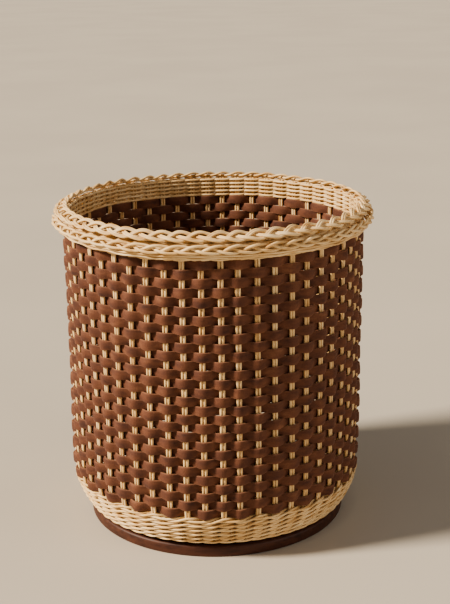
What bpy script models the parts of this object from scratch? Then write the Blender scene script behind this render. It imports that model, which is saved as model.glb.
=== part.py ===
"""Round open storage bin, woven by hand from flat leather straps over paired reeds.

The wall stands on upright stakes. Each stake is a pair of thin round reeds side by side, and each
long pair is bent into a U that makes two neighbouring stakes. The bottom of the U is a hairpin,
held between the round foot board and the panel on top of it. A band of woven reed stands at the
foot of the wall, then the strap rows, each one strap passing outside one stake and inside the
next, then a second band of reed, and a plaited border over the ends of the stakes.

Units are metres, +Z is up, the bin stands on z = 0 and its axis is the Z axis. The front of the
bin faces -Y. Angles round the wall are measured from the front towards +X.
"""

import math

import bmesh
import bpy

# ---------------------------------------------------------------- driving sizes

STAKE_LOOPS = 26  # each U-shaped loop makes two stakes
STAKE_PHASE = math.radians(2.2)  # where the first stake stands, from the front
STRAP_ROWS = 29

REED_DIAMETER = 0.0031  # one reed of a stake
STRAP_WIDTH = 0.0095
STRAP_THICKNESS = 0.0018
ROW_GAP = 0.0006  # between one strap row and the next
WALE_THICKNESS = 0.0026  # the reed woven in the two cream bands
BAND_GAP = 0.0010  # between a reed band and the strap row beside it
CLEARANCE = 0.0003  # between pieces that bear on each other

BODY_RADIUS = 0.1697  # to the middle of the stakes, on the straight wall
FLARE_DEPTH = 0.0175  # how far the wall draws in at its foot
FLARE_HEIGHT = 0.0500  # the height over which it draws in

FOOT_LIP = 0.0043  # how far the foot board stands out past the bend of the stakes
FOOT_THICKNESS = 0.0140
FOOT_ROUND = 0.0035
PANEL_THICKNESS = 0.0060
PANEL_ROUND = 0.0015
BEND_RADIUS = 0.0042  # of the stakes, where they turn in between the boards
STAKE_TAIL = 0.0100  # straight run from that bend to the hairpin

LOWER_BAND_HEIGHT = 0.0358
UPPER_BAND_HEIGHT = 0.0230

BORDER_TOP = 0.0068  # thickness over the ends of the stakes
BORDER_WALL = 0.0097  # thickness of the outside plait at its top
BORDER_TAPER = 0.0045  # how much of that it loses by its lower edge
BORDER_INSET = 0.0005  # how far the top plait stands inside the upper band
BORDER_ROUND = 0.0026

TURNED_STEPS = 64
LOWER_BAND_LEVELS = 4
FLARE_LEVELS = 2  # steps of a stake from the top of the lower band to where it runs straight
ROUND_STEPS = 2

# ---------------------------------------------------------------- derived sizes

STAKE_COUNT = 2 * STAKE_LOOPS
STAKE_STEP = 2 * math.pi / STAKE_COUNT
PAIR_WIDTH = 2 * REED_DIAMETER

# The reeds lie flat on the foot board, then turn up into the slope of the wall.
FOOT_LEAN = math.atan(2 * FLARE_DEPTH / FLARE_HEIGHT)
BEND_TURN = math.pi / 2 - FOOT_LEAN
BEND_RUN = BEND_RADIUS * math.tan(BEND_TURN / 2)
REED_FLOOR = FOOT_THICKNESS + CLEARANCE + REED_DIAMETER / 2
PANEL_BOTTOM = REED_FLOOR + REED_DIAMETER / 2 + CLEARANCE

# The lower band starts where the inner side of the bend has ended, clear of its own dipping edge.
EDGE_DIP = (REED_DIAMETER + WALE_THICKNESS) / 2 * math.sin(FOOT_LEAN)
LOWER_BAND_BOTTOM = REED_FLOOR + BEND_RUN * math.cos(FOOT_LEAN) + EDGE_DIP + CLEARANCE
LOWER_BAND_TOP = LOWER_BAND_BOTTOM + LOWER_BAND_HEIGHT
ROW_PITCH = STRAP_WIDTH + ROW_GAP
FIRST_ROW_BOTTOM = LOWER_BAND_TOP + BAND_GAP
LAST_ROW_TOP = FIRST_ROW_BOTTOM + STRAP_ROWS * ROW_PITCH - ROW_GAP
UPPER_BAND_BOTTOM = LAST_ROW_TOP + BAND_GAP
UPPER_BAND_TOP = UPPER_BAND_BOTTOM + UPPER_BAND_HEIGHT
STAKE_TOP = UPPER_BAND_TOP
BORDER_BOTTOM = UPPER_BAND_BOTTOM
BORDER_SEAT = STAKE_TOP + 2 * CLEARANCE
OVERALL_HEIGHT = BORDER_SEAT + BORDER_TOP


def wall_radius(z):
    """Radius of the middle of the stakes at height z. The foot of the wall is a parabola."""
    below = LOWER_BAND_BOTTOM + FLARE_HEIGHT - z
    if below <= 0:
        return BODY_RADIUS
    if below > FLARE_HEIGHT:
        extra = (below - FLARE_HEIGHT) * math.tan(FOOT_LEAN)
        return BODY_RADIUS - FLARE_DEPTH - extra
    return BODY_RADIUS - FLARE_DEPTH * (below / FLARE_HEIGHT) ** 2


def wall_lean(z):
    """Angle of the wall from upright at height z."""
    below = LOWER_BAND_BOTTOM + FLARE_HEIGHT - z
    below = min(max(below, 0.0), FLARE_HEIGHT)
    return math.atan(2 * FLARE_DEPTH * below / FLARE_HEIGHT**2)


def weave_offset(thickness, radius):
    """How far a woven band's middle stands off a stake's middle, to clear the edges of the pair.

    The band runs straight from outside one stake to inside the next, so its slope depends on the
    offset: a few rounds of substitution settle it. The next stake also stands further back round
    the circle, and the band falls away towards it by that much more at the edge of the pair.
    """
    pitch = STAKE_STEP * radius
    share = 1 - PAIR_WIDTH / pitch
    fall = STAKE_STEP * PAIR_WIDTH / 4
    offset = REED_DIAMETER
    for _ in range(12):
        slant = math.hypot(1, 2 * offset / pitch)
        offset = ((thickness / 2 + CLEARANCE) * slant + REED_DIAMETER / 2 + fall) / share
    return offset


def corner_reach(thickness, radius):
    """How far a woven band's outermost corner stands off the middle of the stakes."""
    offset = weave_offset(thickness, radius)
    slant = math.hypot(1, 2 * offset / (STAKE_STEP * radius))
    return offset + thickness / 2 * slant


# ---------------------------------------------------------------- scene and materials


def clear_scene():
    for obj in list(bpy.data.objects):
        bpy.data.objects.remove(obj, do_unlink=True)


def make_material(name, colour, roughness):
    material = bpy.data.materials.new(name)
    material.use_nodes = True
    shader = material.node_tree.nodes["Principled BSDF"]
    shader.inputs["Base Color"].default_value = (*colour, 1.0)
    shader.inputs["Roughness"].default_value = roughness
    shader.inputs["Metallic"].default_value = 0.0
    material.diffuse_color = (*colour, 1.0)
    return material


def add_part(name, mesh, material):
    part = bpy.data.objects.new(name, mesh)
    PARTS.objects.link(part)
    part.parent = AXIS
    mesh.materials.append(material)
    return part


def finish_mesh(name, bm, smooth_angle=None):
    mesh = bpy.data.meshes.new(name)
    bm.to_mesh(mesh)
    bm.free()
    if smooth_angle is not None:
        mesh.shade_smooth()
        mesh.set_sharp_from_angle(angle=smooth_angle)
    return mesh


def solidify(part, thickness):
    shell = part.modifiers.new("thickness", "SOLIDIFY")
    shell.thickness = thickness
    shell.offset = 0.0
    shell.use_even_offset = True
    shell.use_rim = True
    return shell


# ---------------------------------------------------------------- woven bands


def woven_band(name, bottom, top, thickness, outside_even, levels, material):
    """A closed band that stands outside one stake and inside the next, all the way round."""
    bm = bmesh.new()
    bmesh.ops.create_cone(
        bm,
        cap_ends=False,
        segments=STAKE_COUNT,
        radius1=1.0,
        radius2=1.0,
        depth=top - bottom,
    )
    if levels > 1:
        uprights = [e for e in bm.edges if abs(e.verts[0].co.z - e.verts[1].co.z) > 1e-6]
        bmesh.ops.subdivide_edges(bm, edges=uprights, cuts=levels - 1, use_grid_fill=True)
    for vert in bm.verts:
        column = round(math.atan2(vert.co.y, vert.co.x) / STAKE_STEP) % STAKE_COUNT
        z = vert.co.z + (bottom + top) / 2
        radius = wall_radius(z)
        side = 1 if (column % 2 == 0) == outside_even else -1
        radius += side * weave_offset(thickness, radius) / math.cos(wall_lean(z))
        angle = STAKE_PHASE + column * STAKE_STEP
        vert.co = (radius * math.sin(angle), -radius * math.cos(angle), z)
    bmesh.ops.recalc_face_normals(bm, faces=bm.faces)
    part = add_part(name, finish_mesh(name, bm), material)
    solidify(part, thickness)
    return part


# ---------------------------------------------------------------- stakes


def stake_leg():
    """Stations (radius, height) of one stake, from its top down to where the hairpin starts."""
    stations = [(BODY_RADIUS, STAKE_TOP)]
    flare_top = LOWER_BAND_BOTTOM + FLARE_HEIGHT
    for i in range(FLARE_LEVELS):
        z = flare_top + (LOWER_BAND_TOP - flare_top) * i / FLARE_LEVELS
        stations.append((wall_radius(z), z))
    for i in range(LOWER_BAND_LEVELS + 1):
        z = LOWER_BAND_TOP - LOWER_BAND_HEIGHT * i / LOWER_BAND_LEVELS
        stations.append((wall_radius(z), z))
    corner = wall_radius(REED_FLOOR)
    centre = (corner - BEND_RUN, REED_FLOOR + BEND_RADIUS)
    for i in range(ROUND_STEPS + 1):
        turn = -FOOT_LEAN - BEND_TURN * i / ROUND_STEPS
        r = centre[0] + BEND_RADIUS * math.cos(turn)
        z = centre[1] + BEND_RADIUS * math.sin(turn)
        stations.append((r, z))
    return stations


def hairpin_radius():
    """Distance from the axis to where the straight tails end and the hairpin starts."""
    return wall_radius(REED_FLOOR) - BEND_RUN - STAKE_TAIL


def hairpin_reach():
    """Distance from the axis to the nearest point of the hairpin."""
    centre = hairpin_radius() / math.cos(STAKE_STEP / 2)
    return centre - centre * math.sin(STAKE_STEP / 2) - PAIR_WIDTH / 2


def loop_ribbon():
    """Stations of a whole loop, about its own middle plane, each a point and a width direction.

    Points are (outwards, sideways, up).
    """
    half = STAKE_STEP / 2
    leg = stake_leg()
    leg.append((hairpin_radius(), REED_FLOOR))
    ribbon = []
    for r, z in leg:
        place = (r * math.cos(half), -r * math.sin(half), z)
        ribbon.append((place, (math.sin(half), math.cos(half), 0.0)))
    centre = hairpin_radius() / math.cos(half)
    bend = centre * math.sin(half)
    first = 1.5 * math.pi - half
    sweep = math.pi - 2 * half
    steps = 2 * ROUND_STEPS
    for i in range(1, steps):
        turn = first - sweep * i / steps
        across = (math.cos(turn), math.sin(turn), 0.0)
        place = (centre + bend * across[0], bend * across[1], REED_FLOOR)
        ribbon.append((place, (-across[0], -across[1], 0.0)))
    for r, z in reversed(leg):
        place = (r * math.cos(half), r * math.sin(half), z)
        ribbon.append((place, (math.sin(half), -math.cos(half), 0.0)))
    return ribbon


def stake_loop(name, angle, material):
    """One doubled reed: down a stake, through the hairpin under the panel, up the next stake."""
    out = (math.sin(angle), -math.cos(angle))
    side = (math.cos(angle), math.sin(angle))
    bm = bmesh.new()
    pairs = []
    for place, across in loop_ribbon():
        pair = []
        for sign in (-1, 1):
            u = place[0] + sign * PAIR_WIDTH / 2 * across[0]
            v = place[1] + sign * PAIR_WIDTH / 2 * across[1]
            x = u * out[0] + v * side[0]
            y = u * out[1] + v * side[1]
            pair.append(bm.verts.new((x, y, place[2])))
        pairs.append(pair)
    for a, b in zip(pairs, pairs[1:]):
        bm.faces.new((a[0], a[1], b[1], b[0]))
    part = add_part(name, finish_mesh(name, bm), material)
    solidify(part, REED_DIAMETER)
    return part


# ---------------------------------------------------------------- turned pieces


def rounded(points):
    """A closed or open outline of (radius, height, rounding) with its corners rounded off."""
    outline = []
    count = len(points)
    for i, (r, z, rounding) in enumerate(points):
        if rounding == 0:
            outline.append((r, z))
            continue
        before = points[i - 1]
        after = points[(i + 1) % count]
        enter = (before[0] - r, before[1] - z)
        leave = (after[0] - r, after[1] - z)
        enter_length = math.hypot(*enter)
        leave_length = math.hypot(*leave)
        start = (r + enter[0] * rounding / enter_length, z + enter[1] * rounding / enter_length)
        end = (r + leave[0] * rounding / leave_length, z + leave[1] * rounding / leave_length)
        for step in range(ROUND_STEPS + 1):
            t = step / ROUND_STEPS
            keep = (1 - t) ** 2
            pull = 2 * t * (1 - t)
            outline.append(
                (
                    keep * start[0] + pull * r + t * t * end[0],
                    keep * start[1] + pull * z + t * t * end[1],
                )
            )
    return outline


def turned(name, outline, closed, material):
    """An outline turned about the axis. It runs down its outer side, from top to bottom."""
    bm = bmesh.new()
    verts = [bm.verts.new((r, 0.0, z)) for r, z in outline]
    for a, b in zip(verts, verts[1:]):
        bm.edges.new((a, b))
    if closed:
        bm.edges.new((verts[-1], verts[0]))
    part = add_part(name, finish_mesh(name, bm), material)
    screw = part.modifiers.new("turn", "SCREW")
    screw.axis = "Z"
    screw.angle = 2 * math.pi
    screw.steps = TURNED_STEPS
    screw.render_steps = TURNED_STEPS
    screw.use_merge_vertices = True
    screw.merge_threshold = 0.00001
    screw.use_smooth_shade = True
    return part


def foot_board(material):
    """The round board that the bin stands on, with a low boss that carries the panel."""
    foot_radius = wall_radius(REED_FLOOR) + FOOT_LIP
    boss_radius = hairpin_reach() - CLEARANCE
    boss_top = PANEL_BOTTOM - CLEARANCE
    outline = rounded(
        [
            (0.0, boss_top, 0),
            (boss_radius, boss_top, 0),
            (boss_radius, FOOT_THICKNESS, 0),
            (foot_radius, FOOT_THICKNESS, FOOT_ROUND),
            (foot_radius, 0.0, FOOT_ROUND / 2),
            (0.0, 0.0, 0),
        ]
    )
    return turned("foot_board", outline, False, material)


def bottom_panel(material):
    """The round panel inside the bin, over the hairpins."""
    reach = corner_reach(WALE_THICKNESS, wall_radius(LOWER_BAND_BOTTOM)) / math.cos(FOOT_LEAN)
    radius = wall_radius(LOWER_BAND_BOTTOM) - reach - 2 * CLEARANCE
    top = PANEL_BOTTOM + PANEL_THICKNESS
    outline = rounded(
        [
            (0.0, top, 0),
            (radius, top, PANEL_ROUND),
            (radius, PANEL_BOTTOM, 0),
            (0.0, PANEL_BOTTOM, 0),
        ]
    )
    return turned("bottom_panel", outline, False, material)


def plaited_border(material):
    """The border: it sits over the ends of the stakes and hangs down outside the upper band."""
    reach = corner_reach(WALE_THICKNESS, BODY_RADIUS)
    lip = (BODY_RADIUS + reach + CLEARANCE) / math.cos(math.pi / TURNED_STEPS)
    inner = BODY_RADIUS - reach - BORDER_INSET
    outer = lip + BORDER_WALL
    lower = outer - BORDER_TAPER
    outline = rounded(
        [
            (inner, OVERALL_HEIGHT, BORDER_ROUND),
            (outer, OVERALL_HEIGHT, BORDER_ROUND),
            (lower, BORDER_BOTTOM, BORDER_ROUND / 2),
            (lip, BORDER_BOTTOM, 0),
            (lip, BORDER_SEAT, 0),
            (inner, BORDER_SEAT, BORDER_ROUND / 2),
        ]
    )
    return turned("plaited_border", outline, True, material)


# ---------------------------------------------------------------- the bin

clear_scene()
PARTS = bpy.data.collections.new("woven_storage_bin")
bpy.context.scene.collection.children.link(PARTS)
AXIS = bpy.data.objects.new("bin_axis", None)
AXIS.empty_display_size = 0.05
PARTS.objects.link(AXIS)

reed = make_material("natural_reed", (0.66, 0.46, 0.25), 0.55)
strap = make_material("brown_strap_leather", (0.17, 0.062, 0.035), 0.75)
foot_wood = make_material("stained_foot_wood", (0.12, 0.036, 0.018), 0.35)
panel_wood = make_material("plain_panel_wood", (0.38, 0.22, 0.11), 0.6)

foot_board(foot_wood)
bottom_panel(panel_wood)

for i in range(STAKE_LOOPS):
    middle = STAKE_PHASE + (2 * i + 0.5) * STAKE_STEP
    stake_loop(f"stake_loop_{i + 1:02d}", middle, reed)

woven_band(
    "lower_wale",
    LOWER_BAND_BOTTOM,
    LOWER_BAND_TOP,
    WALE_THICKNESS,
    True,
    LOWER_BAND_LEVELS,
    reed,
)

for i in range(STRAP_ROWS):
    bottom = FIRST_ROW_BOTTOM + i * ROW_PITCH
    top = bottom + STRAP_WIDTH
    outside_even = i % 2 == 1
    name = f"strap_row_{i + 1:02d}"
    woven_band(name, bottom, top, STRAP_THICKNESS, outside_even, 1, strap)

woven_band("upper_wale", UPPER_BAND_BOTTOM, UPPER_BAND_TOP, WALE_THICKNESS, True, 1, reed)
plaited_border(reed)
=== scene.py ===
"""Looks of the woven storage bin: leather straps over paired reeds, waled and plaited bands."""

import math
import random

import bpy
from mathutils import Euler, Matrix, Vector


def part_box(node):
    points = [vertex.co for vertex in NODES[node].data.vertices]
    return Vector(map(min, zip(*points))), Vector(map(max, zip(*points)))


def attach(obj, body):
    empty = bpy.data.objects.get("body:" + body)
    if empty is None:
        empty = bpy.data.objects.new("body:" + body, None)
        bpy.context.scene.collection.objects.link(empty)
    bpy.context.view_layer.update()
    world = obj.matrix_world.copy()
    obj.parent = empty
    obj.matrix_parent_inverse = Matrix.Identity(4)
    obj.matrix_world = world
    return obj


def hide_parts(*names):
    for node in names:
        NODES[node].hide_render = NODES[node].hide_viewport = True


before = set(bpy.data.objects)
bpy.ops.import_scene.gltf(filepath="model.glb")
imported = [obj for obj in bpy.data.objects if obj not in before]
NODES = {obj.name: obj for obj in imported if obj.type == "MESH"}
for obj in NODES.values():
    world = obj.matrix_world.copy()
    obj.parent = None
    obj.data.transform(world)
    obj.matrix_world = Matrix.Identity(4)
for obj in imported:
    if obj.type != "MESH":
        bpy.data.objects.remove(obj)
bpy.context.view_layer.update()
bpy.ops.object.select_all(action="DESELECT")
chance = random.Random(52)

# ---------------------------------------------------------------- sizes of the materials

REED = 0.0031  # one reed of a stake
PAIR_HALF = REED * 0.52  # from the middle of a stake to the middle of one of its reeds
LOWER_REED = 0.0028
UPPER_REED = 0.0030
RIM_REED = 0.0027
OUTER_REED = 0.0033
STRAP_WIDTH = 0.0098
STRAP_THICKNESS = 0.0021
STRAP_EDGE = 0.0005  # rounding of the cut edges
STRAP_CROWN = 0.0002  # how far the faces swell in the middle

# ---------------------------------------------------------------- how the weaving lies

STRAP_SWING = 0.0035  # how far a strap stands off the middle of the wall at a stake
STRAP_DRAW = 0.0010  # how far it is pulled inwards between two stakes
STAKE_SWING = 0.0003  # how far the straps bend a stake
WALE_SWING = 0.0028  # how far a rod of waling stands off the middle of the wall
WALE_CROWN = 0.0010  # how much further its long outside stroke bulges
WALE_RODS = 3
PLAIT_STRANDS = 3
STAKE_UNEVEN = 0.045  # a stake's chance shift, as a share of the step to the next one
STRAP_LIFT = 0.0003  # a strap's chance lift at a stake
STRAP_BULGE = (-0.0004, 0.0003)  # its chance bulge over a stake, from least to most
STRAP_ROLL = 0.05  # its chance lean, in radians
STRAP_FULL = 1.05  # its fullness between two stakes
STRAP_SPREAD = 0.11  # how much fuller it is at a stake
STAKE_CROWDING = 0.022  # the stakes stand closer at the front and back, in radians

OUT_WAVES = (  # slow waves round the wall: size, turns round, turns up, start
    (0.0007, 2, 0, 0.6),
    (0.0004, 3, 11, 0.0),
    (0.0003, 7, 29, 1.3),
)
UP_WAVES = (
    (0.0005, 2, 7, 2.0),
    (0.00035, 5, -17, 0.0),
    (0.0002, 11, 41, 0.0),
)
FOOT_SLUMP = 0.0022  # the foot of the wall leans over a little to one side
SLUMP_HEIGHT = 0.06
SLUMP_REACH = 0.045
CALM_HEIGHT = 0.03  # below this nothing moves, because the boards hold the stakes
CALM_REACH = 0.08

# ---------------------------------------------------------------- points along a strand

STRAP_POINTS = 10  # for each stake that it passes
WALE_POINTS = 8
PLAIT_POINTS = 9
EDGE_POINTS = 6
STAKE_POINT_GAP = 0.0048
HAIRPIN_STEPS = 8
STRAND_SMOOTH = math.radians(50)

# ---------------------------------------------------------------- the foot

BOARD_GAP = 0.0003  # between the panel and the hairpins under it
HAIRPIN_INSET = 0.0140  # from the wall to where the hairpins start to turn
BEND_RUN = 0.0040  # from the wall to the end of a stake's bend
SHADOW_GAP = 0.0014  # between the hairpins and the face of the foot board
BOSS_INSET = 0.0125  # from where the hairpins turn to the boss inside them
BOARD_SIDES = 200
BOARD_SMOOTH = math.radians(40)

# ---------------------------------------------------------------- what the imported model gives

STRAP_ROWS = sorted(name for name in NODES if name.startswith("strap_row_"))
LOOPS = sorted(name for name in NODES if name.startswith("stake_loop_"))
STAKES = 2 * len(LOOPS)
STEP = 2 * math.pi / STAKES
LOWER_BAND_LEVELS = 4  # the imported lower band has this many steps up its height


def middle(node):
    """Height of the middle of a CAD node."""
    low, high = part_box(node)
    return (low.z + high.z) / 2


def ease(t):
    """A soft start and a soft stop between nothing and one."""
    t = min(1.0, max(0.0, t))
    return t * t * (3 - 2 * t)


def mean_radius(points):
    return sum(math.hypot(p.x, p.y) for p in points) / len(points)


def wall_profile():
    """Heights and radii of the middle of the wall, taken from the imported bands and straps."""
    profile = []
    low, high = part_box("lower_wale")
    levels = [[] for _ in range(LOWER_BAND_LEVELS + 1)]
    for vert in NODES["lower_wale"].data.vertices:
        level = round((vert.co.z - low.z) / (high.z - low.z) * LOWER_BAND_LEVELS)
        levels[level].append(vert.co)
    for points in levels:
        height = sum(p.z for p in points) / len(points)
        profile.append((height, mean_radius(points)))
    for node in STRAP_ROWS + ["upper_wale"]:
        points = [vert.co for vert in NODES[node].data.vertices]
        profile.append((middle(node), mean_radius(points)))
    return profile


def first_stake():
    """Direction of the first stake, half a step before the middle of the first loop."""
    x = y = 0.0
    for vert in NODES["stake_loop_01"].data.vertices:
        x += vert.co.x
        y += vert.co.y
    return math.atan2(x, -y) - STEP / 2


PROFILE = wall_profile()
WALL_BOTTOM = PROFILE[0][0]
FIRST_ROW = middle(STRAP_ROWS[0])
ROW_PITCH = (middle(STRAP_ROWS[-1]) - FIRST_ROW) / (len(STRAP_ROWS) - 1)
PHASE = first_stake()

# ---------------------------------------------------------------- a handmade wall

STAKE_SHIFT = [chance.uniform(-STAKE_UNEVEN, STAKE_UNEVEN) * STEP for _ in range(STAKES)]


def stake_angle(place):
    """Direction of a place on the round of stakes; whole numbers are stakes, none quite even."""
    k = math.floor(place)
    t = place - k
    shift = STAKE_SHIFT[k % STAKES] * (1 - t) + STAKE_SHIFT[(k + 1) % STAKES] * t
    even = PHASE + place * STEP
    return even + shift - STAKE_CROWDING * math.sin(2 * even)


def profile_slope(i):
    """Slope of the wall at a place of the profile, taken across its neighbours."""
    (z0, r0), (z1, r1) = PROFILE[max(i - 1, 0)], PROFILE[min(i + 1, len(PROFILE) - 1)]
    return (r1 - r0) / (z1 - z0)


SLOPES = [profile_slope(i) for i in range(len(PROFILE))]


def wall_radius(z):
    """Radius of the middle of the wall, as one smooth line through the profile."""
    if z <= PROFILE[0][0]:
        return PROFILE[0][1] + (z - PROFILE[0][0]) * SLOPES[0]
    for i in range(len(PROFILE) - 1):
        (z0, r0), (z1, r1) = PROFILE[i], PROFILE[i + 1]
        if z <= z1:
            span = z1 - z0
            t = (z - z0) / span
            near, far = ease(t), 1 - ease(t)
            bend = t * (1 - t) * (SLOPES[i] * (1 - t) - SLOPES[i + 1] * t) * span
            return r0 * far + r1 * near + bend
    return PROFILE[-1][1]


def wall_lean(z):
    """How far the wall leans outwards at a height, in radians."""
    step = 0.003
    return math.atan((wall_radius(z + step) - wall_radius(z - step)) / (2 * step))


def sum_waves(waves, angle, z):
    """What several slow waves come to at a place on the wall."""
    total = 0.0
    for size, turns_round, turns_up, start in waves:
        total += size * math.sin(turns_round * angle + turns_up * z + start)
    return total


def settle(angle, z):
    """How far the weaving has settled outwards and upwards at a place."""
    calm = min(1.0, max(0.0, (z - CALM_HEIGHT) / CALM_REACH))
    near_foot = math.exp(-(((z - SLUMP_HEIGHT) / SLUMP_REACH) ** 2))
    out = sum_waves(OUT_WAVES, angle, z) - FOOT_SLUMP * math.sin(angle) * near_foot
    return out * calm, sum_waves(UP_WAVES, angle, z) * calm


def on_round(angle, radius, z):
    """A point at a direction from the front, a radius and a height."""
    return (radius * math.sin(angle), -radius * math.cos(angle), z)


def on_wall(angle, z, stand_off=0.0):
    """A point that stands off the middle of the wall, square to it."""
    lean = wall_lean(z)
    out, up = settle(angle, z)
    radius = wall_radius(z) + stand_off * math.cos(lean) + out
    return on_round(angle, radius, z - stand_off * math.sin(lean) + up)


# ---------------------------------------------------------------- strands


def new_strand_curve(name, thickness, twist="Z_UP"):
    """A curve for strands of one thickness. Steep strands need the twist MINIMUM."""
    curve = bpy.data.curves.new(name, "CURVE")
    curve.dimensions = "3D"
    curve.twist_mode = twist
    curve.bevel_depth = thickness / 2
    curve.bevel_resolution = 2
    curve.use_fill_caps = True
    return curve


def add_strand(curve, points, closed=False, tilts=None, fullness=None):
    """Adds one strand, with its tilt and its fullness at each point."""
    spline = curve.splines.new("POLY")
    spline.points.add(len(points) - 1)
    for i, point in enumerate(points):
        spline.points[i].co = (*point, 1.0)
        if tilts:
            spline.points[i].tilt = tilts[i]
        if fullness:
            spline.points[i].radius = fullness[i]
    spline.use_cyclic_u = closed


def finish_strands(name, curve, material, slot, *nodes):
    """Turns the strands into one smooth mesh that stands for the CAD nodes."""
    piece = bpy.data.objects.new(name, curve)
    bpy.context.scene.collection.objects.link(piece)
    bpy.ops.object.select_all(action="DESELECT")
    piece.select_set(True)
    bpy.context.view_layer.objects.active = piece
    bpy.ops.object.convert(target="MESH")
    piece = bpy.context.object
    bpy.ops.object.mode_set(mode="EDIT")
    bpy.ops.mesh.select_all(action="SELECT")
    bpy.ops.mesh.remove_doubles(threshold=0.000002)
    bpy.ops.mesh.normals_make_consistent(inside=False)
    bpy.ops.object.mode_set(mode="OBJECT")
    bpy.ops.object.shade_smooth_by_angle(angle=STRAND_SMOOTH)
    finish_piece(piece, material, slot, *nodes)


def finish_piece(piece, material, slot, *nodes):
    """Gives a piece its finish, and puts it in the place of its CAD nodes."""
    piece.select_set(False)
    piece.data.materials.clear()
    piece.data.materials.append(material)
    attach(piece, "root")
    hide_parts(*nodes)


# ---------------------------------------------------------------- steps of a finish


def start_material(name, colour, roughness):
    material = bpy.data.materials.new(name)
    material.use_nodes = True
    shader = material.node_tree.nodes["Principled BSDF"]
    shader.inputs["Base Color"].default_value = (*colour, 1.0)
    shader.inputs["Roughness"].default_value = roughness
    return material, shader


def add_node(material, kind, inputs=(), **settings):
    """Adds a node. An input is a plain value, or the output of another node."""
    node = material.node_tree.nodes.new(kind)
    for key, value in settings.items():
        setattr(node, key, value)
    for key, value in dict(inputs).items():
        if isinstance(value, bpy.types.NodeSocket):
            material.node_tree.links.new(value, node.inputs[key])
        else:
            node.inputs[key].default_value = value
    return node


def place_on_object(material, scale):
    """Places a pattern on the object, in repeats for each metre."""
    coords = add_node(material, "ShaderNodeTexCoord")
    mapping = add_node(
        material, "ShaderNodeMapping", {"Vector": coords.outputs["Object"], "Scale": scale}
    )
    return mapping.outputs["Vector"]


def place_on_strand(material, scale):
    """Places a pattern along a strand and around its section."""
    uv = add_node(material, "ShaderNodeUVMap", uv_map="UVMap")
    mapping = add_node(
        material, "ShaderNodeMapping", {"Vector": uv.outputs["UV"], "Scale": scale}
    )
    return mapping.outputs["Vector"]


def noise(material, place, scale, detail=3.0, roughness=0.55):
    node = add_node(
        material,
        "ShaderNodeTexNoise",
        {"Vector": place, "Scale": scale, "Detail": detail, "Roughness": roughness},
    )
    return node.outputs["Fac"]


def ramp(material, factor, *stops):
    """A colour ramp. Each stop is a place and a colour."""
    node = add_node(material, "ShaderNodeValToRGB", {"Fac": factor})
    band = node.color_ramp
    band.interpolation = "EASE"
    while len(band.elements) < len(stops):
        band.elements.new(0.5)
    for element, (place, colour) in zip(band.elements, stops):
        element.position = place
        element.color = (*colour, 1.0)
    return node.outputs["Color"]


def blend_colour(material, factor, under, over, how="MIX"):
    """Lays one colour over another. The node's colour sockets come after its other kinds."""
    factor_socket, under_socket, over_socket, colour_socket = 0, 6, 7, 2
    node = add_node(
        material,
        "ShaderNodeMix",
        {factor_socket: factor, under_socket: under, over_socket: over},
        data_type="RGBA",
        blend_type=how,
    )
    return node.outputs[colour_socket]


def sum_of(material, first, second, how="ADD"):
    node = add_node(material, "ShaderNodeMath", {0: first, 1: second}, operation=how)
    return node.outputs["Value"]


def distance_from(material, value, place):
    """How far a value is from a place, whichever side it is on."""
    away = sum_of(material, value, place, "SUBTRACT")
    return add_node(material, "ShaderNodeMath", {0: away}, operation="ABSOLUTE").outputs["Value"]


def set_colour(material, shader, colour):
    material.node_tree.links.new(colour, shader.inputs["Base Color"])


def set_bump(material, shader, height, depth, strength):
    bump = add_node(
        material,
        "ShaderNodeBump",
        {"Height": height, "Distance": depth, "Strength": strength},
    )
    material.node_tree.links.new(bump.outputs["Normal"], shader.inputs["Normal"])


def set_roughness(material, shader, factor, low, high):
    spread = add_node(
        material, "ShaderNodeMapRange", {"Value": factor, "To Min": low, "To Max": high}
    )
    material.node_tree.links.new(spread.outputs["Result"], shader.inputs["Roughness"])


# ---------------------------------------------------------------- finishes


def reed_material(name, strand_scale, fibre_scale, patch_scale):
    """Peeled reed: pale straw, with fibres along it and a darker strand here and there."""
    material, shader = start_material(name, (0.70, 0.49, 0.25), 0.5)
    strand = place_on_object(material, strand_scale)
    fibre = place_on_object(material, fibre_scale)
    patch = place_on_object(material, patch_scale)
    tone = ramp(
        material,
        noise(material, strand, 1.0, 1.0),
        (0.26, (0.56, 0.34, 0.14)),
        (0.42, (0.72, 0.50, 0.25)),
        (0.58, (0.80, 0.60, 0.34)),
        (0.75, (0.87, 0.69, 0.43)),
    )
    streaks = ramp(
        material,
        noise(material, fibre, 1.0, 3.0),
        (0.30, (0.72, 0.62, 0.50)),
        (0.55, (1.0, 1.0, 1.0)),
    )
    colour = blend_colour(material, 0.55, tone, streaks, "MULTIPLY")
    spots = ramp(
        material,
        noise(material, patch, 1.0, 4.0, 0.7),
        (0.30, (0.78, 0.62, 0.45)),
        (0.45, (1.0, 1.0, 1.0)),
    )
    colour = blend_colour(material, 0.6, colour, spots, "MULTIPLY")
    set_colour(material, shader, colour)
    set_roughness(material, shader, noise(material, fibre, 1.0, 2.0), 0.42, 0.62)
    set_bump(material, shader, noise(material, fibre, 1.0, 3.0), 0.00015, 0.5)
    shader.inputs["Specular IOR Level"].default_value = 0.4
    shader.inputs["Sheen Weight"].default_value = 0.08
    return material


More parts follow.
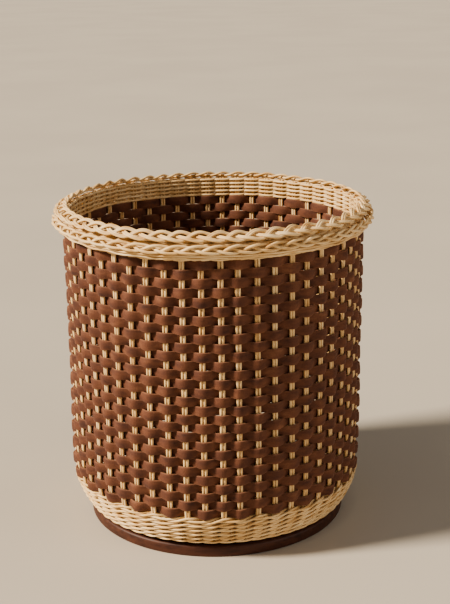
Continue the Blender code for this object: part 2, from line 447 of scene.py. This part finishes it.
def worn_edge(material):
    """One along the two cut edges of a strap, and nothing on the middle of its faces."""
    across = place_on_strand(material, (1, 1, 1))
    around = add_node(material, "ShaderNodeSeparateXYZ", {"Vector": across}).outputs["Y"]
    outer_face, inner_face = 0.75, 0.25
    off_outer = distance_from(material, around, outer_face)
    off_inner = distance_from(material, around, inner_face)
    edge = add_node(
        material,
        "ShaderNodeMapRange",
        {
            "Value": sum_of(material, off_outer, off_inner, "MINIMUM"),
            "From Min": 0.046,
            "From Max": 0.125,
            "To Max": 1.0,
        },
    )
    return edge.outputs["Result"]


def strap_material():
    """Brown nubuck strap: soft nap, cloudy colour, paler worn edges and creases across it."""
    material, shader = start_material("nubuck_strap", (0.14, 0.058, 0.036), 0.7)
    cloud = place_on_object(material, (42, 42, 99))
    nap = place_on_object(material, (700, 700, 900))
    crease = place_on_strand(material, (420, 1.2, 1))
    colour = ramp(
        material,
        noise(material, cloud, 1.0, 2.0),
        (0.25, (0.070, 0.029, 0.021)),
        (0.42, (0.115, 0.046, 0.029)),
        (0.58, (0.155, 0.063, 0.037)),
        (0.76, (0.215, 0.095, 0.055)),
    )
    speckle = ramp(
        material,
        noise(material, nap, 1.0, 4.0, 0.7),
        (0.32, (0.62, 0.55, 0.52)),
        (0.60, (1.0, 1.0, 1.0)),
    )
    colour = blend_colour(material, 0.65, colour, speckle, "MULTIPLY")
    ragged = sum_of(material, worn_edge(material), noise(material, nap, 0.6, 3.0), "MULTIPLY")
    colour = blend_colour(material, ragged, colour, (0.30, 0.150, 0.090, 1.0))
    set_colour(material, shader, colour)
    creases = sum_of(material, noise(material, crease, 1.0, 2.0), 0.7, "MULTIPLY")
    height = sum_of(material, noise(material, nap, 1.0, 5.0, 0.65), creases)
    set_bump(material, shader, height, 0.0005, 0.55)
    set_roughness(material, shader, noise(material, nap, 1.0, 2.0), 0.62, 0.85)
    shader.inputs["Specular IOR Level"].default_value = 0.28
    shader.inputs["Sheen Weight"].default_value = 0.15
    shader.inputs["Sheen Roughness"].default_value = 0.45
    shader.inputs["Sheen Tint"].default_value = (0.85, 0.55, 0.42, 1.0)
    return material


def foot_material():
    """Brown stained wood with a satin finish, its grain running across the board."""
    material, shader = start_material("stained_foot_wood", (0.10, 0.032, 0.018), 0.38)
    grain = place_on_object(material, (9, 120, 160))
    fine = place_on_object(material, (35, 700, 900))
    colour = ramp(
        material,
        noise(material, grain, 1.0, 4.0),
        (0.30, (0.040, 0.013, 0.008)),
        (0.50, (0.070, 0.024, 0.014)),
        (0.72, (0.100, 0.036, 0.020)),
    )
    pores = ramp(
        material,
        noise(material, fine, 1.0, 3.0),
        (0.32, (0.55, 0.50, 0.48)),
        (0.50, (1.0, 1.0, 1.0)),
    )
    set_colour(material, shader, blend_colour(material, 0.6, colour, pores, "MULTIPLY"))
    set_roughness(material, shader, noise(material, grain, 1.0, 2.0), 0.46, 0.60)
    set_bump(material, shader, noise(material, fine, 1.0, 3.0), 0.0001, 0.3)
    shader.inputs["Specular IOR Level"].default_value = 0.35
    return material


def panel_material():
    """Plain thin board inside the bin, pale and dry."""
    material, shader = start_material("plain_panel_wood", (0.38, 0.22, 0.11), 0.6)
    grain = place_on_object(material, (7, 75, 90))
    fine = place_on_object(material, (45, 800, 900))
    colour = ramp(
        material,
        noise(material, grain, 1.0, 4.0),
        (0.30, (0.27, 0.145, 0.068)),
        (0.50, (0.38, 0.225, 0.110)),
        (0.72, (0.48, 0.305, 0.165)),
    )
    pores = ramp(
        material,
        noise(material, fine, 1.0, 3.0),
        (0.34, (0.66, 0.58, 0.50)),
        (0.52, (1.0, 1.0, 1.0)),
    )
    set_colour(material, shader, blend_colour(material, 0.5, colour, pores, "MULTIPLY"))
    set_bump(material, shader, noise(material, fine, 1.0, 3.0), 0.0002, 0.4)
    return material


def floor_material():
    """Plain pale floor, with the faintest cloud in its colour."""
    pale = (0.53, 0.48, 0.41)
    material, shader = start_material("pale_floor", pale, 0.7)
    soft = place_on_object(material, (1.5, 1.5, 1.5))
    dimmer = tuple(0.94 * c for c in pale)
    tint = ramp(material, noise(material, soft, 1.0, 3.0), (0.3, dimmer), (0.7, pale))
    set_colour(material, shader, tint)
    return material


upright_reed = reed_material("upright_reed", (330, 330, 5), (1500, 1500, 30), (60, 60, 20))
woven_reed = reed_material("woven_reed", (26, 26, 340), (180, 180, 2900), (60, 60, 80))
nubuck = strap_material()
foot_wood = foot_material()
panel_wood = panel_material()

# ---------------------------------------------------------------- stakes

PANEL_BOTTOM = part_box("bottom_panel")[0].z
STAKE_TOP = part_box(LOOPS[0])[1].z
REED_FLOOR = PANEL_BOTTOM - BOARD_GAP - REED / 2
HAIRPIN_START = wall_radius(REED_FLOOR) - HAIRPIN_INSET


def stake_run(k, side):
    """Points of one reed of stake k, from the top down to the gap between the boards."""
    points = []
    even = 1 if k % 2 == 0 else -1
    count = round((STAKE_TOP - WALL_BOTTOM) / STAKE_POINT_GAP)
    for i in range(count + 1):
        z = STAKE_TOP + (WALL_BOTTOM - STAKE_TOP) * i / count
        rows_up = (z - FIRST_ROW) / ROW_PITCH
        woven = ease(rows_up + 1)
        swing = even * STAKE_SWING * math.cos(math.pi * rows_up) * woven
        wander = 0.00006 * math.sin(z * 130 + k * 1.7 + side)
        angle = stake_angle(k) + (side * PAIR_HALF + wander) / wall_radius(z)
        points.append(on_wall(angle, z, swing))
    start = wall_radius(WALL_BOTTOM)
    corner = wall_radius(REED_FLOOR)
    for t in (0.35, 0.7, 1.0):
        before, at_corner, after = (1 - t) ** 2, 2 * t * (1 - t), t * t
        radius = before * start + at_corner * corner + after * (corner - BEND_RUN)
        z = before * WALL_BOTTOM + at_corner * REED_FLOOR + after * REED_FLOOR
        points.append(on_round(stake_angle(k) + side * PAIR_HALF / radius, radius, z))
    return points


def hairpin(k, side):
    """Points of the turn from stake k to the next one."""
    first, second = stake_angle(k), stake_angle(k + 1)
    facing = (first + second) / 2
    half = (second - first) / 2
    centre = HAIRPIN_START / math.cos(half)
    bend = centre * math.sin(half) - side * PAIR_HALF
    points = []
    for i in range(HAIRPIN_STEPS + 1):
        turn = math.pi * 1.5 - half - (math.pi - 2 * half) * i / HAIRPIN_STEPS
        u = centre + bend * math.cos(turn)
        v = bend * math.sin(turn)
        x = u * math.sin(facing) + v * math.cos(facing)
        y = -u * math.cos(facing) + v * math.sin(facing)
        points.append((x, y, REED_FLOOR))
    return points


for i, node in enumerate(LOOPS):
    k = 2 * i
    curve = new_strand_curve(node + "_reeds", REED, "MINIMUM")
    for side in (1, -1):
        down = stake_run(k, side)
        up = stake_run(k + 1, -side)
        add_strand(curve, down + hairpin(k, side) + up[::-1])
    finish_strands(node + "_reeds", curve, upright_reed, "reed", node)

# ---------------------------------------------------------------- leather straps


def strap_path(row):
    """Points, leans and fullness of one strap row: over one stake and behind the next."""
    points, tilts, fullness = [], [], []
    sign = 1 if row % 2 == 1 else -1
    z_row = FIRST_ROW + row * ROW_PITCH
    lifts = [chance.uniform(-STRAP_LIFT, STRAP_LIFT) for _ in range(STAKES)]
    bulges = [chance.uniform(*STRAP_BULGE) for _ in range(STAKES)]
    rolls = [chance.uniform(-STRAP_ROLL, STRAP_ROLL) for _ in range(STAKES)]
    for i in range(STAKES * STRAP_POINTS):
        place = i / STRAP_POINTS
        k = math.floor(place + 0.5) % STAKES
        near = math.cos(math.pi * (place - round(place)))
        swing = math.cos(math.pi * place)
        z = z_row + lifts[k] * near
        stand_off = sign * STRAP_SWING * swing - STRAP_DRAW * (1 - swing**2)
        if sign * swing > 0:
            stand_off += bulges[k] * near
        points.append(on_wall(stake_angle(place), z, stand_off))
        tilts.append(wall_lean(z) + rolls[k] * near)
        fullness.append(STRAP_FULL + STRAP_SPREAD * near**2)
    return points, tilts, fullness


def strap_section():
    """The cut end of a strap: square edges, just softened, and faces with a slight crown."""
    half_wide, half_thick = STRAP_WIDTH / 2, STRAP_THICKNESS / 2
    corner = [(0.0, -half_wide)]
    for i in range(3):
        turn = math.pi / 4 * i
        across = half_thick - STRAP_EDGE * (1 - math.sin(turn))
        corner.append((across, -half_wide + STRAP_EDGE * (1 - math.cos(turn))))
    right = corner + [(half_thick + STRAP_CROWN, 0.0)]
    right += [(x, -y) for x, y in reversed(corner)]
    around = right + [(-x, y) for x, y in reversed(right[1:-1])]
    section = bpy.data.curves.new("strap_section", "CURVE")
    section.dimensions = "2D"
    add_strand(section, [(x, y, 0.0) for x, y in around], closed=True)
    holder = bpy.data.objects.new("strap_section", section)
    bpy.context.scene.collection.objects.link(holder)
    return holder


section = strap_section()

for row, node in enumerate(STRAP_ROWS):
    curve = new_strand_curve(node + "_leather", STRAP_THICKNESS)
    curve.bevel_mode = "OBJECT"
    curve.bevel_object = section
    points, tilts, fullness = strap_path(row)
    add_strand(curve, points, closed=True, tilts=tilts, fullness=fullness)
    finish_strands(node + "_leather", curve, nubuck, "strap", node)

bpy.data.objects.remove(section)

# ---------------------------------------------------------------- waled bands


def waled_round(curve, z, rise, start, wave):
    """One round of three-rod waling: each rod runs outside two stakes and inside the third.

    Three rounds of the stakes bring a rod back to its start, so one closed strand makes all three.
    """
    crossing = 0.84  # share of the way between two stakes that a rod takes to change sides
    climb = 0.35  # share in which it changes height
    points = []
    for i in range(WALE_RODS * STAKES * WALE_POINTS):
        place = i / WALE_POINTS
        w = (place + start) % WALE_RODS
        if w < 1:  # coming out
            stand_off = -WALE_SWING + 2 * WALE_SWING * ease((w - 0.12) / crossing)
            lift = -rise / 2 * ease((w - 0.3) / climb)
        elif w < 2:  # the long stroke outside
            stand_off = WALE_SWING + WALE_CROWN * math.sin(math.pi * (w - 1))
            lift = -rise / 2 + rise * (w - 1)
        else:  # going in
            stand_off = WALE_SWING - 2 * WALE_SWING * ease((w - 2.04) / crossing)
            lift = rise / 2 * (1 - ease((w - 2.35) / climb))
        height = z + lift + wave * math.cos(math.pi * place)
        height += 0.00012 * math.sin(place * 0.9 + z * 900)
        points.append(on_wall(stake_angle(place), height, stand_off))
    add_strand(curve, points, closed=True)


def waled_band(name, node, reed, waves, reach):
    """Rounds of waling that fill the height of a CAD band; reach is how far they go below it.

    There is one round for each wave, which is how far the straps above it press it up and down.
    """
    low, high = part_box(node)
    pitch = (high.z - low.z + reach) / len(waves)
    curve = new_strand_curve(name, reed)
    for i, wave in enumerate(waves):
        z = low.z - reach + pitch * (i + 0.5)
        waled_round(curve, z, pitch / 2, i % WALE_RODS, wave)
    finish_strands(name, curve, woven_reed, "reed", node)


LOWER_WAVES = (0, 0, 0.0001, 0.0003, 0.0007, 0.0012)
waled_band("lower_waling", "lower_wale", LOWER_REED, LOWER_WAVES, -0.0009)
waled_band("upper_waling", "upper_wale", UPPER_REED, (0, 0, 0, 0, 0), 0.0014)

# ---------------------------------------------------------------- plaited border


def plait(curve, radius, z, slope, width, depth, pair=0.0, start=0.0):
    """Three strands plaited round the rim; slope turns the flat of the plait in its section.

    A strand is a pair of reeds side by side, or a single one where the pair spacing is nothing.
    """
    snap = 0.8  # how sharply a strand crosses from one side of the plait to the other
    across = (math.cos(slope), math.sin(slope))
    out = (-math.sin(slope), math.cos(slope))
    if out[0] < 0:
        out = (-out[0], -out[1])
    for side in (-1, 1) if pair else (0,):
        points = []
        for i in range(PLAIT_STRANDS * STAKES * PLAIT_POINTS):
            place = i / PLAIT_POINTS
            turn = 2 * math.pi * (place + start) / PLAIT_STRANDS
            lateral = width * math.tanh(snap * math.sin(turn)) / math.tanh(snap)
            run = width * math.cos(turn) * 2 * math.pi / (PLAIT_STRANDS * STEP * radius)
            length = math.hypot(1, run)
            lateral += side * pair / 2 / length
            shift = -side * pair / 2 * run / length
            height = depth * (math.sin(2 * turn) - 0.25 * math.cos(turn))
            height += 0.00015 * math.sin(place * 1.3 + side)
            angle = stake_angle(place) + shift / radius
            settle_out, settle_up = settle(angle, z)
            r = radius + lateral * across[0] + height * out[0] + settle_out
            level = z + lateral * across[1] + height * out[1] + settle_up
            points.append(on_round(angle, r, level))
        add_strand(curve, points, closed=True)


def edge_reed(curve, radius, z, wave, start):
    """A reed that lies along the foot of the border."""
    points = []
    for i in range(STAKES * EDGE_POINTS):
        place = i / EDGE_POINTS
        angle = stake_angle(place)
        settle_out, settle_up = settle(angle, z)
        swing = math.cos(math.pi * place + start)
        r = radius + settle_out + 0.0003 * math.sin(place * 0.7 + start)
        points.append(on_round(angle, r, z + settle_up + wave * swing))
    add_strand(curve, points, closed=True)


border_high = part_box("plaited_border")[1]
rim, top = border_high.x, border_high.z

curve = new_strand_curve("rim_plait", RIM_REED)
plait(
    curve,
    radius=rim - 0.0110,
    z=top - 0.0052,
    slope=math.radians(-25),
    width=0.0060,
    depth=0.0016,
    pair=0.0022,
)
edge_reed(curve, rim - 0.0062, top - 0.0246, wave=0.0003, start=0.0)
edge_reed(curve, rim - 0.0075, top - 0.0275, wave=0.0007, start=0.4)
finish_strands("rim_plait", curve, woven_reed, "reed", "plaited_border")

curve = new_strand_curve("outer_plait", OUTER_REED)
plait(
    curve,
    radius=rim - 0.0037,
    z=top - 0.0176,
    slope=math.radians(-74),
    width=0.0038,
    depth=0.0019,
    start=1.2,
)
finish_strands("outer_plait", curve, woven_reed, "reed", "plaited_border")

# ---------------------------------------------------------------- boards


def pick_ring(mesh, height, radius):
    """Selects the edges of a ring at a height, further out than a radius."""
    bpy.ops.mesh.select_mode(type="EDGE")
    bpy.ops.mesh.select_all(action="DESELECT")
    bpy.ops.object.mode_set(mode="OBJECT")
    for edge in mesh.edges:
        ends = [mesh.vertices[v].co for v in edge.vertices]
        level = all(abs(p.z - height) < 1e-5 for p in ends)
        edge.select = level and all(math.hypot(p.x, p.y) > radius for p in ends)
    bpy.ops.object.mode_set(mode="EDIT")


def turned_board(name, radius, low, high, top_round, foot_round):
    """A turned board between two heights, with its upper and lower rims rounded over."""
    bpy.ops.mesh.primitive_cylinder_add(
        vertices=BOARD_SIDES,
        radius=radius,
        depth=high - low,
        location=(0, 0, (low + high) / 2),
    )
    board = bpy.context.object
    board.name = name
    bpy.ops.object.transform_apply(location=True, rotation=True, scale=True)
    bpy.ops.object.mode_set(mode="EDIT")
    for height, rounding in ((high, top_round), (low, foot_round)):
        pick_ring(board.data, height, radius * 0.95)
        bpy.ops.mesh.bevel(offset=rounding, segments=5, profile=0.5)
    bpy.ops.object.mode_set(mode="OBJECT")
    return board


def raise_boss(board, inset, rise):
    """Raises the middle of a board's top face, leaving a ledge round it."""
    bpy.ops.object.mode_set(mode="EDIT")
    bpy.ops.mesh.select_mode(type="FACE")
    bpy.ops.mesh.select_all(action="DESELECT")
    bpy.ops.object.mode_set(mode="OBJECT")
    for face in board.data.polygons:
        face.select = len(face.vertices) > 8 and face.normal.z > 0.9
    bpy.ops.object.mode_set(mode="EDIT")
    bpy.ops.mesh.inset(thickness=inset)
    bpy.ops.mesh.extrude_region_move(TRANSFORM_OT_translate={"value": (0, 0, rise)})
    bpy.ops.object.mode_set(mode="OBJECT")


def foot_board():
    """The foot board, with the low boss that carries the panel."""
    low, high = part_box("foot_board")
    face = PANEL_BOTTOM - REED - SHADOW_GAP
    top_round = 0.0034
    board = turned_board("turned_foot_board", high.x, low.z, face, top_round, 0.0018)
    ledge = high.x - top_round - (HAIRPIN_START - BOSS_INSET)
    raise_boss(board, ledge, high.z - face)
    bpy.ops.object.shade_smooth_by_angle(angle=BOARD_SMOOTH)
    finish_piece(board, foot_wood, "foot", "foot_board")


def inner_panel():
    """The round panel inside the bin."""
    low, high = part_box("bottom_panel")
    board = turned_board("inner_panel", high.x, low.z, high.z, 0.0012, 0.0004)
    bpy.ops.object.shade_smooth_by_angle(angle=BOARD_SMOOTH)
    finish_piece(board, panel_wood, "panel", "bottom_panel")


foot_board()
inner_panel()

# ---------------------------------------------------------------- floor

bpy.ops.mesh.primitive_plane_add(size=60, location=(0, 0, 0))
floor = bpy.context.object
floor.name = "pale_floor"
floor.data.materials.append(floor_material())
floor.select_set(False)

# ---------------------------------------------------------------- light


def hang_light(light, place, direction):
    """Puts a light in the scene, shining along a direction."""
    holder = bpy.data.objects.new(light.name, light)
    holder.location = place
    holder.rotation_euler = Vector(direction).to_track_quat("-Z", "Y").to_euler()
    bpy.context.scene.collection.objects.link(holder)


window = bpy.data.lights.new("window_light", "SUN")
window.energy = 6.6
window.color = (1.0, 0.88, 0.72)
window.angle = math.radians(10)
hang_light(window, (0, 0, 0), (2.1, 0.50, -1.5))

fill = bpy.data.lights.new("room_fill", "AREA")
fill.shape = "DISK"
fill.size = 1.6
fill.energy = 18
fill.color = (1.0, 0.90, 0.80)
hang_light(fill, (2.4, -1.5, 1.3), (-2.4, 1.5, -1.1))

world = bpy.data.worlds.new("studio")
world.use_nodes = True
background = world.node_tree.nodes["Background"]
background.inputs["Color"].default_value = (0.80, 0.74, 0.66, 1.0)
background.inputs["Strength"].default_value = 0.31
bpy.context.scene.world = world
bpy.context.scene.view_settings.look = "AgX - Medium High Contrast"

# ---------------------------------------------------------------- camera

LOOK_DOWN = math.radians(16.35)
LOOK_RIGHT = math.radians(0.54)
LENS_ROLL = math.radians(-0.8)

lens = bpy.data.cameras.new("camera")
lens.lens = 71.94
lens.sensor_width = 36.0
lens.clip_start = 0.05
lens.clip_end = 50.0
camera = bpy.data.objects.new("camera", lens)
camera.location = (0.0, -1.375, 0.657)
aim = Euler((math.pi / 2 - LOOK_DOWN, 0.0, -LOOK_RIGHT)).to_matrix()
camera.rotation_euler = (aim @ Matrix.Rotation(LENS_ROLL, 3, "Z")).to_euler()
bpy.context.scene.collection.objects.link(camera)
bpy.context.scene.camera = camera
